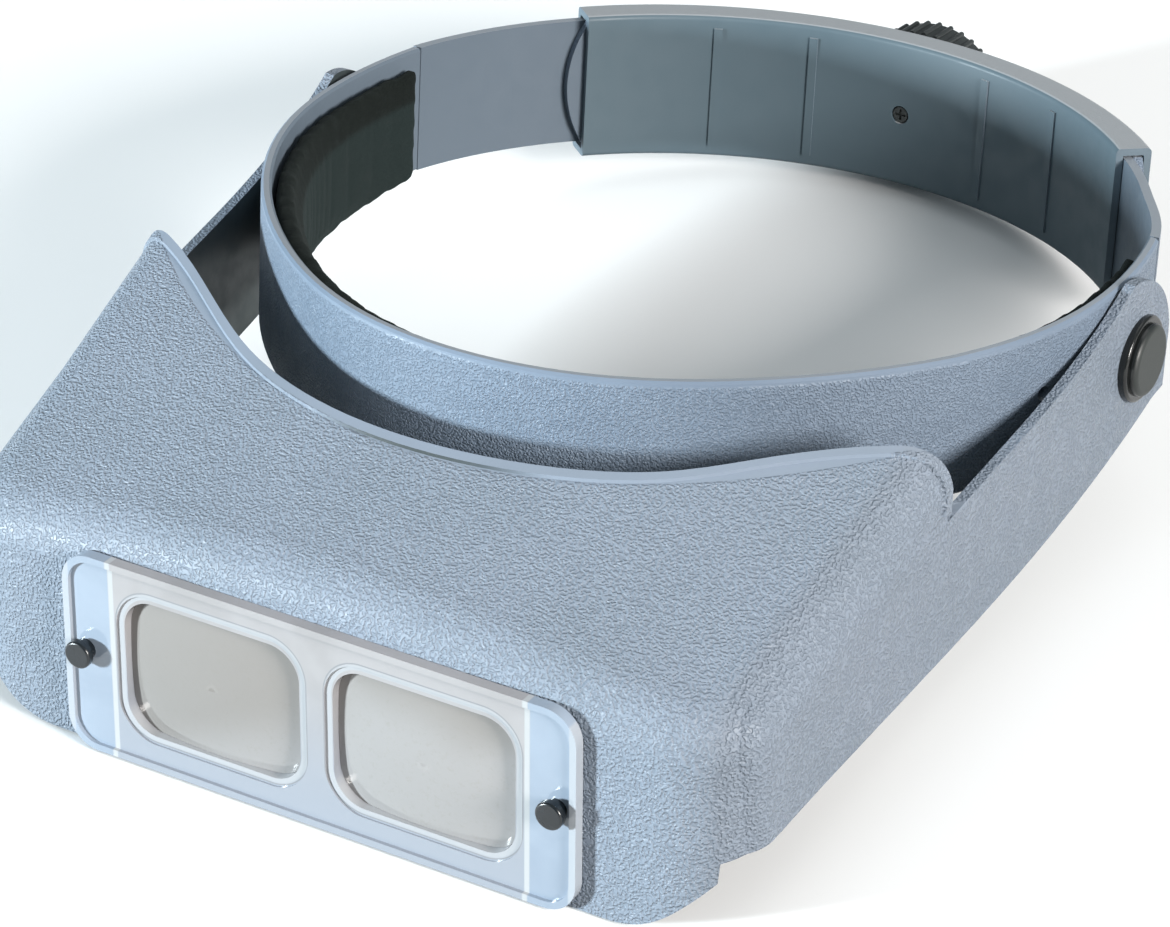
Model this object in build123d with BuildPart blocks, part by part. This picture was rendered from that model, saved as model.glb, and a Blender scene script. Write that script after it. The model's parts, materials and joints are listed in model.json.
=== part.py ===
"""Head visor magnifier: a hinged visor with a lens plate on an adjustable headband.

The model is drawn in the wearer's frame: the headband lies flat, its top edge is at
z = 0, the wearer faces -Y and +X is the wearer's left. All lengths are millimetres.
Each piece is then set down on the table, resting on the hood's front edge and the
adjusting knob, with the origin on the table under the middle of the assembly.
"""
from build123d import *
from math import atan2, cos, degrees, pi, radians, sin, sqrt
import os

FAR = 300.0

# Headband: half of its line seen from above, from the brow round to the temple
BAND_LINE = [
    (0, -52.4),
    (28.0, -46.6),
    (53.2, -29.6),
    (76.4, -1.0),
    (86.6, 24.0),
    (88.7, 45.7),
    (85.55, 69.5),
]
BAND_WALL = 2.1
BAND_HEIGHT = 28.5
BAND_EDGE = 0.5
BAND_CLOSING_Y = 82.0
BAND_STATIONS = 24
BAND_EASE = 4
SPLIT_Y = 68.6
SPLIT_GAP = 0.5
SIDE_HOLE_Y = 20.0
SIDE_HOLE_Z = -12.4
SIDE_HOLE_R = 1.4

# Rear arcs of the two straps and of the sleeve that they slide in
ARC_Y = 45.7
SLEEVE_IN_R = 83.06
SLEEVE_OUT_R = 90.5
SLEEVE_WALL = 1.5
SLEEVE_TOP = 4.2
SLEEVE_BOTTOM = -28.0
SLEEVE_OPEN_END = 56.0
SLEEVE_END = 48.0
SLEEVE_EDGE_R = 1.0
RIB_ANGLES = (-28.5, -14.2, 14.2, 28.5)
RIB_WIDTH = 1.8
RIB_RISE = 0.4
RIB_BOTTOM = -25.4
RIB_TOP = 1.5
STRAP_WALL = 1.9
STRAP_GAP = 0.2
STRAP_TOP = 2.1
STRAP_BOTTOM = -25.7
STRAP_FRONT = 75.0
STRAP_STEP_END = 58.5
TONGUE_END = -50.5
TONGUE_R = 25.0
TONGUE_DEPTH = 6.0
OUTER_LAYER_R = SLEEVE_OUT_R - SLEEVE_WALL - STRAP_GAP
INNER_LAYER_R = OUTER_LAYER_R - STRAP_WALL - STRAP_GAP

# Rack and pinion inside the sleeve
DRIVE_Z = -12.1
PINION_TEETH = 10
PINION_PITCH_R = 5.0
TOOTH_TOP = 0.9
TOOTH_FOOT = 1.2
TOOTH_TIP_WIDTH = 0.7
TOOTH_ROOT_WIDTH = 1.5
RACK_TEETH = 22
RACK_ANGLE = degrees(2 * pi * PINION_PITCH_R / PINION_TEETH / (OUTER_LAYER_R - STRAP_WALL))
SLOT_END = 26.0
SLOT_BACK = 7.0

# Knob, pinion and screw, on the axis through the sleeve's middle
KNOB_R = 15.6
KNOB_FRONT_Y = 137.3
KNOB_BACK_Y = 145.5
KNOB_RIBS = 36
KNOB_RIB_R = 0.6
KNOB_EDGE_R = 1.0
KNOB_DISH_R = 11.6
KNOB_DISH_DEPTH = 1.0
BOSS_R = 8.0
BOSS_Y = 136.6
HUB_R = 4.0
HUB_FIT = 0.08
SPIGOT_R = 2.6
SPIGOT_FRONT_Y = 131.2
PINION_FRONT_Y = 130.5
PINION_BACK_Y = 134.4
SPRING_WASHER_R = 7.0
SPRING_WASHER = 0.5
SCREW_R = 1.2
SCREW_HEAD_R = 1.7
SCREW_FRONT_Y = 129.0
SCREW_HEAD = 1.2
SCREW_BACK_Y = 142.0
SCREW_HOLE_R = 2.0
SCREW_SLOT = 0.5

# Visor pivot
PIVOT_Y = 49.7
PIVOT_Z = -14.5
SHANK_R = 2.5
SHANK_FIT = 0.08
CAP_SEAT_X = 91.4
CAP_FLANGE_R = 8.7
CAP_FLANGE = 1.8
CAP_DOME_R = 7.3
CAP_DOME = 1.5
CAP_EDGE_R = 0.6
WASHER_R = 8.0
WASHER_IN_X = 88.8
WASHER = 0.5
PIVOT_BOSS_X = 89.35
NUT_R = 6.0
NUT = 1.6
NUT_OUT_X = 85.9

# Visor: hood and side arms
WALL = 2.3
SLOPE = 25.8
CROWN_R = 441.0
CROWN_Y = -50.0
CROWN_Z = -8.83
CROWN_REACH = 100.0
HOOD_SIDE_X = 88.0
HOOD_SIDE_Y = -22.7
HOOD_TAPER = 0.066
HOOD_FRONT_END = -130.0
HOOD_BACK_END = -12.0
CORNER_R = 16.0
BROW_R = 11.0
HOOD_BOTTOM = -79.5
LIP_LINE = [(0, -62.4), (44.4, -52.2), (78.2, -29.3)]
LIP_SLOPE = 0.59
LIP_WING = 20.0
BEAD_WIDTH = 1.8
BEAD_RISE = 0.6
BEAD_BOTTOM = -19.0
ARM_X = 89.35
ARM_TAPER = 0.0513
ARM_WALL = 2.1
ARM_TOP = [(-36.0, -24.5), (3.6, -14.0), (28.0, -6.4), (44.7, 2.2)]
ARM_START = -32.0
ARM_END = [(57.2, -2.6), (61.8, -16.0)]
ARM_HEEL = (61.8, -24.6)
LOWER_EDGE = [(-88.0, -63.2), (-60.0, -57.0), (0.0, -45.3), (57.5, -25.8)]
CORNER_EDGE = [(60.0, -79.5), (70.4, -76.0), (78.8, -68.2), (81.5, -63.8)]
CORNER_EDGE_LEAN = (0.3, 1.0)
CORNER_EDGE_END = -82.0
CHEEK_EDGE = [(-78.8, -120.0), (-89.9, -36.6), (-46.0, -17.8), (-22.0, -13.2)]
CHEEK_BEND_R = (10.0, 30.0)
CHEEK_DEPTH = 10.0
CHEEK_EDGE_R = 8.0

# Lens plate: its front face leans forward at the top; heights along its normal
PLATE_Y = -95.72
PLATE_Z = -58.94
PLATE_LEAN = 4.18
PLATE_WIDTH = 110.0
PLATE_HEIGHT = 42.0
PLATE_BACK = -2.4
PLATE_FACE = -0.8
PLATE_CORNER_R = 6.5
RIM_WIDTH = 1.4
HOOD_FACE = -2.5
CORE_WIDTH = 90.0
CORE_HEIGHT = 36.0
CORE_BACK = -10.4
CORE_CORNER_R = 4.0
CORE_FIT = 0.5
WINDOW_X = 22.8
WINDOW_WIDTH = 38.4
WINDOW_HEIGHT = 28.6
WINDOW_CORNER_R = 6.5
WINDOW_STEP = 1.6
WINDOW_STEP_DEPTH = 0.4
LENS_FIT = 0.05
LENS_BACK = -5.0
LENS_THICK = 4.0
LENS_DOME_R = 95.0
STUD_X = 50.73
STUD_Y = 0.36
STUD_HEAD_R = 2.8
STUD_HEAD = 1.5
STUD_NECK = 1.7
STUD_NECK_R = 2.1
STUD_EDGE_R = 0.5
STUD_R = 1.6
STUD_FIT = 0.1
STUD_TIP = -7.6

# Soft brow pad and the hook strips that hold it
HOOK_THICK = 0.8
HOOK_TOP = -3.0
HOOK_BOTTOM = -24.5
HOOK_END_Y = 66.4
PAD_THICK = 5.3
PAD_END_THICK = 2.4
PAD_TOP = -2.6
PAD_BOTTOM = -30.0
PAD_RISE_Y = 10.0
PAD_END_Y = 64.2
PAD_END_TOP = -1.0
PAD_END_BOTTOM = -25.7
PAD_GAP = 0.1
POCKET_R = 7.0
POCKET_X = 84.2

LEAN = radians(PLATE_LEAN)
LENS_PLANE = Plane(origin=(0, PLATE_Y, PLATE_Z), x_dir=(1, 0, 0), z_dir=(0, -cos(LEAN), -sin(LEAN)))
SLOPE_PLANE = Plane(
    origin=(0, CROWN_Y, CROWN_Z),
    x_dir=(-1, 0, 0),
    z_dir=(0, cos(radians(SLOPE)), sin(radians(SLOPE))),
)
ARM_PLANE = Plane(origin=(ARM_X, 0, 0), x_dir=(ARM_TAPER, 1, 0), z_dir=(1, -ARM_TAPER, 0))
DRIVE_PLANE = Plane(origin=(0, 0, DRIVE_Z), x_dir=(-1, 0, 0), z_dir=(0, 1, 0))
PIVOT_PLANE = Plane(origin=(0, PIVOT_Y, PIVOT_Z), x_dir=(0, 1, 0), z_dir=(1, 0, 0))

pieces = {}


def keep(name, part):
    """Remember a finished piece under the name of its node."""
    part.label = name
    pieces[name] = part


def keep_pair(name, part):
    """Remember a piece of the wearer's left side and its mirror image."""
    keep(name + "_left", part)
    keep(name + "_right", mirror(part, about=Plane.YZ))


def at_angle(radius, angle):
    """Point on an arc about the rear centre; 0 degrees is straight back, + is +X."""
    return (radius * sin(radians(angle)), ARC_Y + radius * cos(radians(angle)))


def along(radius, angle):
    """Direction of an arc about the rear centre, towards a smaller angle."""
    return (-cos(radians(angle)), sin(radians(angle)))


def arc(radius, start, end):
    """Arc about the rear centre, from one angle to another."""
    middle = (start + end) / 2
    return ThreePointArc(at_angle(radius, start), at_angle(radius, middle), at_angle(radius, end))


def arc_wall(outer, inner, end, bottom, top):
    """Upright wall between two radii about the rear centre, to the same angle each side."""
    with BuildPart() as wall:
        with BuildSketch(Plane.XY.offset(bottom)):
            with BuildLine():
                outside = arc(outer, -end, end)
                inside = arc(inner, end, -end)
                Line(outside @ 1, inside @ 0)
                Line(inside @ 1, outside @ 0)
            make_face()
        extrude(amount=top - bottom)
    return wall.part


def band_area(inset, end_inset):
    """Area inside the headband's line, its edge moved inwards by inset, at the ends by end_inset."""
    left = [(-x, y) for x, y in reversed(BAND_LINE[1:])]
    line = Edge.make_spline([Vector(x, y) for x, y in left + BAND_LINE])
    stations = [count / BAND_STATIONS for count in range(BAND_STATIONS + 1)]
    insets = [inset + (end_inset - inset) * abs(2 * at - 1) ** BAND_EASE for at in stations]
    normals = [(line % at).rotate(Axis.Z, 90) for at in stations]
    moved = [line @ at + normal * depth for at, normal, depth in zip(stations, normals, insets)]
    close_x = moved[-1].X - (BAND_CLOSING_Y - moved[-1].Y) / 2
    with BuildSketch() as area:
        with BuildLine():
            edge = Spline(moved)
            Polyline(edge @ 1, (close_x, BAND_CLOSING_Y), (-close_x, BAND_CLOSING_Y), edge @ 0)
        make_face()
    return area.sketch


def band_strip(outer, inner, end_inner, bottom, top, back):
    """Upright wall that follows the headband between two insets, cut off at y = back."""
    with BuildPart() as strip:
        with BuildSketch(Plane.XY.offset(bottom)):
            add(band_area(outer, outer))
            add(band_area(inner, end_inner), mode=Mode.SUBTRACT)
            with Locations((0, back + FAR / 2)):
                Rectangle(FAR, FAR, mode=Mode.SUBTRACT)
        extrude(amount=top - bottom)
    return strip.part


def make_band_front():
    """Front of the headband, with the pivot bores and two small side holes."""
    with BuildPart() as band_front:
        add(band_strip(0, BAND_WALL, BAND_WALL, -BAND_HEIGHT, STRAP_TOP, SPLIT_Y))
        with BuildSketch(Plane.YZ.offset(-FAR / 2)):
            Polygon(
                (-FAR, -BAND_HEIGHT),
                (0, -BAND_HEIGHT),
                (SPLIT_Y, STRAP_BOTTOM),
                (SPLIT_Y, STRAP_TOP),
                (0, 0),
                (-FAR, 0),
                align=None,
            )
        extrude(amount=FAR, mode=Mode.INTERSECT)
        chamfer(band_front.edges().filter_by(GeomType.BSPLINE), length=BAND_EDGE)
        with BuildSketch(PIVOT_PLANE):
            Circle(SHANK_R + SHANK_FIT)
            with Locations((SIDE_HOLE_Y - PIVOT_Y, SIDE_HOLE_Z - PIVOT_Z)):
                Circle(SIDE_HOLE_R)
        extrude(amount=FAR / 2, both=True, mode=Mode.SUBTRACT)
    keep("band_front", band_front.part)


def make_pad():
    """Foam brow pad inside the front of the headband, with pockets for the pivot nuts."""
    outer = BAND_WALL + HOOK_THICK + PAD_GAP
    with BuildPart() as brow_pad:
        add(band_strip(outer, outer + PAD_THICK, outer + PAD_END_THICK, PAD_BOTTOM, PAD_END_TOP, PAD_END_Y))
        with BuildSketch(Plane.YZ.offset(-FAR / 2)):
            Polygon(
                (-FAR, PAD_BOTTOM),
                (PAD_RISE_Y, PAD_BOTTOM),
                (PAD_END_Y, PAD_END_BOTTOM),
                (PAD_END_Y, PAD_END_TOP),
                (PAD_RISE_Y, PAD_TOP),
                (-FAR, PAD_TOP),
                align=None,
            )
        extrude(amount=FAR, mode=Mode.INTERSECT)
        for plane in (PIVOT_PLANE.offset(POCKET_X), PIVOT_PLANE.offset(-POCKET_X - PAD_THICK)):
            with BuildSketch(plane):
                Circle(POCKET_R)
            extrude(amount=PAD_THICK, mode=Mode.SUBTRACT)
    keep("brow_pad", brow_pad.part)


def make_hook_strips():
    """Hook tape between the pad and the band: one strip at the brow, one at each end."""
    spans = {
        "hook_strip_front": ((0, -44.0), (76.0, 30.0)),
        "hook_strip_left": ((84.0, 62.5), (40.0, 8.0)),
        "hook_strip_right": ((-84.0, 62.5), (40.0, 8.0)),
    }
    for name, (middle, size) in spans.items():
        with BuildPart() as strip:
            depth = BAND_WALL + HOOK_THICK
            add(band_strip(BAND_WALL, depth, depth, HOOK_BOTTOM, HOOK_TOP, HOOK_END_Y))
            with BuildSketch(Plane.XY.offset(-FAR / 2)):
                with Locations(middle):
                    Rectangle(*size)
            extrude(amount=FAR, mode=Mode.INTERSECT)
        keep(name, strip.part)


def make_sleeve():
    """Rear sleeve: a curved open-ended box with ribs inside and a boss for the knob."""
    with BuildPart() as rear_sleeve:
        add(arc_wall(SLEEVE_OUT_R, SLEEVE_IN_R, SLEEVE_END, SLEEVE_BOTTOM, SLEEVE_TOP))
        rims = rear_sleeve.faces().filter_by(Axis.Z).edges().filter_by(GeomType.CIRCLE)
        fillet(rims, radius=SLEEVE_EDGE_R)
        for angle in RIB_ANGLES:
            with BuildSketch(Plane.XY.offset(RIB_BOTTOM)):
                with Locations(Location((*at_angle(SLEEVE_IN_R, angle), 0), (0, 0, -angle))):
                    Rectangle(RIB_WIDTH, 2 * RIB_RISE)
            extrude(amount=RIB_TOP - RIB_BOTTOM)
        with BuildSketch(DRIVE_PLANE.offset(BOSS_Y)):
            Circle(BOSS_R)
        extrude(amount=-SLEEVE_WALL)
        cavity_in = SLEEVE_IN_R + SLEEVE_WALL
        cavity_out = SLEEVE_OUT_R - SLEEVE_WALL
        cavity_bottom = SLEEVE_BOTTOM + SLEEVE_WALL
        cavity_top = SLEEVE_TOP - SLEEVE_WALL
        cavity = arc_wall(cavity_out, cavity_in, SLEEVE_OPEN_END, cavity_bottom, cavity_top)
        add(cavity, mode=Mode.SUBTRACT)
        with BuildSketch(DRIVE_PLANE.offset(PINION_FRONT_Y)):
            Circle(HUB_R + HUB_FIT)
        extrude(amount=BOSS_R, mode=Mode.SUBTRACT)
        with BuildSketch(DRIVE_PLANE.offset(PINION_FRONT_Y)):
            Circle(SCREW_HOLE_R)
        extrude(amount=-BOSS_R, mode=Mode.SUBTRACT)
    keep("rear_sleeve", rear_sleeve.part)


def tooth_profile(root, tip):
    """Pointed tooth in a sketch, from its root to its tip along +Y."""
    root_half, tip_half = TOOTH_ROOT_WIDTH / 2, TOOTH_TIP_WIDTH / 2
    return Polygon((-root_half, root), (root_half, root), (tip_half, tip), (-tip_half, tip), align=None)


def make_strap(name, layer_r, teeth_up, mirrored):
    """Rear strap: a rack strap with a rounded tongue, stepped into its layer of the sleeve."""
    inner_r = layer_r - STRAP_WALL
    front_inner_r = OUTER_LAYER_R - STRAP_WALL
    reach = PINION_PITCH_R - TOOTH_TOP
    root = PINION_PITCH_R + TOOTH_FOOT
    side = 1 if teeth_up else -1
    with BuildPart() as strap:
        with BuildSketch(Plane.XY.offset(-FAR / 2)):
            with BuildLine():
                outside = arc(layer_r, STRAP_STEP_END, TONGUE_END)
                inside = arc(inner_r, TONGUE_END, STRAP_STEP_END)
                Line(outside @ 1, inside @ 0)
                front = (along(1, STRAP_FRONT), along(1, STRAP_STEP_END))
                step_out = Spline(at_angle(OUTER_LAYER_R, STRAP_FRONT), outside @ 0, tangents=front)
                step_in = Spline(at_angle(front_inner_r, STRAP_FRONT), inside @ 1, tangents=front)
                Line(step_in @ 0, step_out @ 0)
            make_face()
        extrude(amount=FAR)
        with BuildSketch(Plane.XY.offset(STRAP_BOTTOM)):
            with Locations((0, SPLIT_Y + SPLIT_GAP + FAR / 2)):
                Rectangle(FAR, FAR)
        extrude(amount=STRAP_TOP - STRAP_BOTTOM, mode=Mode.INTERSECT)
        tip = (*at_angle(layer_r, TONGUE_END), (STRAP_TOP + STRAP_BOTTOM) / 2)
        outward = (sin(radians(TONGUE_END)), cos(radians(TONGUE_END)), 0)
        with BuildSketch(Plane(origin=tip, x_dir=(*along(1, TONGUE_END), 0), z_dir=outward)):
            Rectangle(2 * TONGUE_DEPTH, 2 * TONGUE_R)
            with Locations((-TONGUE_R, 0)):
                Circle(TONGUE_R, mode=Mode.SUBTRACT)
        extrude(amount=TONGUE_DEPTH, both=True, mode=Mode.SUBTRACT)
        low, high = sorted((DRIVE_Z - side * SLOT_BACK, DRIVE_Z + side * root))
        add(arc_wall(SLEEVE_OUT_R, SLEEVE_IN_R, SLOT_END, low, high), mode=Mode.SUBTRACT)
        for count in range(RACK_TEETH):
            angle = (count - (RACK_TEETH - 1) / 2) * RACK_ANGLE
            outward = (sin(radians(angle)), cos(radians(angle)), 0)
            foot = (*at_angle(inner_r, angle), DRIVE_Z)
            with BuildSketch(Plane(origin=foot, x_dir=(outward[1], -outward[0], 0), z_dir=outward)):
                tooth_profile(-side * (root + TOOTH_FOOT), -side * reach)
            extrude(amount=STRAP_WALL)
    part = strap.part
    if mirrored:
        part = mirror(part, about=Plane.YZ)
    keep(name, part)


def make_pinion():
    """Ten-tooth pinion that drives both racks."""
    with BuildPart() as pinion:
        with BuildSketch(DRIVE_PLANE.offset(PINION_FRONT_Y)):
            Circle(PINION_PITCH_R - TOOTH_FOOT)
            for count in range(PINION_TEETH):
                with BuildSketch(mode=Mode.PRIVATE) as tooth:
                    tooth_profile(PINION_PITCH_R - 2 * TOOTH_FOOT, PINION_PITCH_R + TOOTH_TOP)
                add(tooth.sketch, rotation=count * 360 / PINION_TEETH)
            Circle(SPIGOT_R, mode=Mode.SUBTRACT)
        extrude(amount=PINION_BACK_Y - PINION_FRONT_Y)
    keep("pinion", pinion.part)


def make_knob():
    """Ribbed adjusting knob, its hub running in the sleeve's boss."""
    with BuildPart() as adjusting_knob:
        with BuildSketch(DRIVE_PLANE.offset(KNOB_FRONT_Y)):
            Circle(KNOB_R)
            with PolarLocations(KNOB_R, KNOB_RIBS):
                Circle(KNOB_RIB_R)
        extrude(amount=KNOB_BACK_Y - KNOB_FRONT_Y)
        fillet(adjusting_knob.faces().sort_by(Axis.Y)[-1].edges(), radius=KNOB_EDGE_R / 2)
        with BuildSketch(DRIVE_PLANE.offset(KNOB_BACK_Y)):
            Circle(KNOB_DISH_R)
        extrude(amount=-KNOB_DISH_DEPTH, mode=Mode.SUBTRACT)
        with BuildSketch(DRIVE_PLANE.offset(PINION_BACK_Y)):
            Circle(HUB_R)
        extrude(amount=KNOB_FRONT_Y - PINION_BACK_Y)
        with BuildSketch(DRIVE_PLANE.offset(SPIGOT_FRONT_Y)):
            Circle(SPIGOT_R)
        extrude(amount=PINION_BACK_Y - SPIGOT_FRONT_Y)
        with BuildSketch(DRIVE_PLANE.offset(SPIGOT_FRONT_Y)):
            Circle(SCREW_R)
        extrude(amount=SCREW_BACK_Y - SPIGOT_FRONT_Y, mode=Mode.SUBTRACT)
    keep("adjusting_knob", adjusting_knob.part)


def make_knob_screw():
    """Cross-head screw that holds the knob and the pinion together through the sleeve."""
    with BuildPart() as knob_screw:
        with BuildSketch(DRIVE_PLANE.offset(SCREW_FRONT_Y)):
            Circle(SCREW_HEAD_R)
        extrude(amount=SCREW_HEAD)
        with BuildSketch(DRIVE_PLANE.offset(SCREW_FRONT_Y)):
            Circle(SCREW_R)
        extrude(amount=SCREW_BACK_Y - SCREW_FRONT_Y)
        with BuildSketch(DRIVE_PLANE.offset(SCREW_FRONT_Y)):
            Rectangle(2 * SCREW_R, SCREW_SLOT)
            Rectangle(SCREW_SLOT, 2 * SCREW_R)
        extrude(amount=SCREW_SLOT, mode=Mode.SUBTRACT)
    keep("knob_screw", knob_screw.part)


def make_spring_washer():
    """Thin washer between the sleeve's boss and the knob."""
    with BuildPart() as spring_washer:
        with BuildSketch(DRIVE_PLANE.offset(BOSS_Y + HUB_FIT)):
            Circle(SPRING_WASHER_R)
            Circle(HUB_R + HUB_FIT, mode=Mode.SUBTRACT)
        extrude(amount=SPRING_WASHER)
    keep("spring_washer", spring_washer.part)


def hood_blank(inset):
    """Rounded hood volume, its faces moved inwards by inset, open-ended behind and below."""
    crown = CROWN_R - inset
    drop = crown - sqrt(crown**2 - CROWN_REACH**2) + inset
    front_x = HOOD_SIDE_X - inset + HOOD_TAPER * (HOOD_FRONT_END - HOOD_SIDE_Y)
    back_x = HOOD_SIDE_X - inset + HOOD_TAPER * (HOOD_BACK_END - HOOD_SIDE_Y)
    with BuildPart() as blank:
        with BuildSketch(SLOPE_PLANE):
            with BuildLine():
                top = ThreePointArc((-CROWN_REACH, -drop), (0, -inset), (CROWN_REACH, -drop))
                Polyline(top @ 1, (CROWN_REACH, -FAR / 2), (-CROWN_REACH, -FAR / 2), top @ 0)
            make_face()
        extrude(amount=FAR / 2, both=True)
        with BuildSketch(Plane.XY.offset(-FAR / 2)):
            Polygon(
                (front_x, HOOD_FRONT_END),
                (back_x, HOOD_BACK_END),
                (-back_x, HOOD_BACK_END),
                (-front_x, HOOD_FRONT_END),
                align=None,
            )
        extrude(amount=FAR, mode=Mode.INTERSECT)
        with BuildSketch(LENS_PLANE.offset(HOOD_FACE - inset)):
            Rectangle(FAR, FAR)
        extrude(amount=-FAR, mode=Mode.INTERSECT)
        uprights = blank.faces().sort_by(Axis.Y)[0].edges().sort_by(Axis.X)
        fillet([uprights[0], uprights[-1]], radius=CORNER_R - inset)
        crown_face = blank.faces().filter_by(GeomType.CYLINDER).sort_by(SortBy.AREA)[-1]
        fillet(crown_face.edges().sort_by(Axis.Y)[:-1], radius=BROW_R - inset)
    return blank.part


def behind_lip(shift):
    """Everything behind the hood's rear lip, its edge moved forward by shift."""
    right = [(x, y - shift) for x, y in LIP_LINE]
    left = [(-x, y) for x, y in reversed(right[1:])]
    with BuildPart() as behind:
        with BuildSketch(Plane.XY.offset(-FAR / 2)):
            with BuildLine():
                lip = Spline(left + right, tangents=[(1, -LIP_SLOPE), (1, LIP_SLOPE)])
                tip_x, tip_y = right[-1]
                wing = (tip_x + LIP_WING, tip_y + LIP_WING * LIP_SLOPE)
                Polyline(lip @ 1, wing, (wing[0], FAR), (-wing[0], FAR), (-wing[0], wing[1]), lip @ 0)
            make_face()
        extrude(amount=FAR)
    return behind.part


def below_edge():
    """Everything below the visor's lower edge, seen from the side."""
    with BuildPart() as below:
        with BuildSketch(Plane.YZ.offset(-FAR / 2)):
            with BuildLine():
                edge = Spline(*LOWER_EDGE)
                heel_y = LOWER_EDGE[-1][0]
                Polyline(edge @ 1, (heel_y, -FAR), (LOWER_EDGE[0][0], -FAR), edge @ 0)
            make_face()
        extrude(amount=FAR)
        with BuildSketch(Plane.XY.offset(HOOD_BOTTOM)):
            with Locations((0, HOOD_FRONT_END)):
                Rectangle(FAR, -2 * HOOD_FRONT_END)
        extrude(amount=-FAR)
        with BuildSketch(Plane.XZ.offset(-HOOD_FRONT_END)):
            with BuildLine():
                corner = Spline(*CORNER_EDGE, tangents=[(1, 0), CORNER_EDGE_LEAN])
                outer = (FAR / 2, CORNER_EDGE[-1][1])
                Polyline(corner @ 1, outer, (FAR / 2, -FAR), (CORNER_EDGE[0][0], -FAR), corner @ 0)
            make_face()
            mirror(about=Plane.YZ)
        extrude(amount=HOOD_FRONT_END - CORNER_EDGE_END)
    return below.part


def make_cheek():
    """Flat side plate that carries each arm forward onto the hood."""
    with BuildPart() as cheek:
        with BuildSketch(ARM_PLANE):
            with BuildLine():
                edge = FilletPolyline(*CHEEK_EDGE, radius=CHEEK_BEND_R)
                Polyline(edge @ 1, (CHEEK_EDGE[-1][0], CHEEK_EDGE[0][1]), edge @ 0)
            make_face()
        extrude(amount=-CHEEK_DEPTH)
        outer_edges = cheek.faces().sort_by(Axis.X)[-1].edges()
        fillet(outer_edges.filter_by(Axis.Z, reverse=True).sort_by(Axis.Z)[1:], radius=CHEEK_EDGE_R)
    return cheek.part


def make_arm():
    """Flat arm from the hood back to the pivot."""
    with BuildPart() as arm:
        with BuildSketch(ARM_PLANE):
            with BuildLine():
                Spline(*ARM_TOP)
                end = ThreePointArc(ARM_TOP[-1], *ARM_END)
                Polyline(end @ 1, ARM_HEEL, LOWER_EDGE[-1])
                Spline(*reversed(LOWER_EDGE))
                Line(LOWER_EDGE[0], ARM_TOP[0])
            make_face()
            with Locations((ARM_START - FAR / 2, 0)):
                Rectangle(FAR, FAR, mode=Mode.SUBTRACT)
        extrude(amount=-ARM_WALL)
        with BuildSketch(PIVOT_PLANE.offset(PIVOT_BOSS_X)):
            Circle(WASHER_R)
        extrude(amount=ARM_WALL / 2)
        with BuildSketch(PIVOT_PLANE.offset(CAP_SEAT_X)):
            Circle(CAP_FLANGE_R)
        extrude(amount=ARM_WALL, mode=Mode.SUBTRACT)
        with BuildSketch(PIVOT_PLANE):
            Circle(SHANK_R + SHANK_FIT)
        extrude(amount=FAR, mode=Mode.SUBTRACT)
    return arm.part


def make_visor_shell():
    """Hood and its two side arms, moulded in one."""
    cavity = hood_blank(WALL)
    cheek = make_cheek()
    arm = make_arm()
    with BuildPart() as bead:
        add(hood_blank(-BEAD_RISE))
        add(cavity, mode=Mode.SUBTRACT)
        add(behind_lip(0), mode=Mode.SUBTRACT)
        add(behind_lip(BEAD_WIDTH), mode=Mode.INTERSECT)
        with BuildSketch(Plane.XY.offset(BEAD_BOTTOM)):
            Rectangle(FAR, FAR)
        extrude(amount=-FAR, mode=Mode.SUBTRACT)
    with BuildPart() as visor_shell:
        add(hood_blank(0))
        add(cheek)
        add(mirror(cheek, about=Plane.YZ))
        add(cavity, mode=Mode.SUBTRACT)
        add(behind_lip(0), mode=Mode.SUBTRACT)
        add(bead.part)
        add(arm)
        add(mirror(arm, about=Plane.YZ))
        add(below_edge(), mode=Mode.SUBTRACT)
        with BuildSketch(LENS_PLANE):
            RectangleRounded(CORE_WIDTH + 2 * CORE_FIT, CORE_HEIGHT + 2 * CORE_FIT, CORE_CORNER_R)
            with Locations((STUD_X, STUD_Y), (-STUD_X, STUD_Y)):
                Circle(STUD_R + STUD_FIT)
        extrude(amount=-CORNER_R, mode=Mode.SUBTRACT)
    keep("visor_shell", visor_shell.part)


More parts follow.
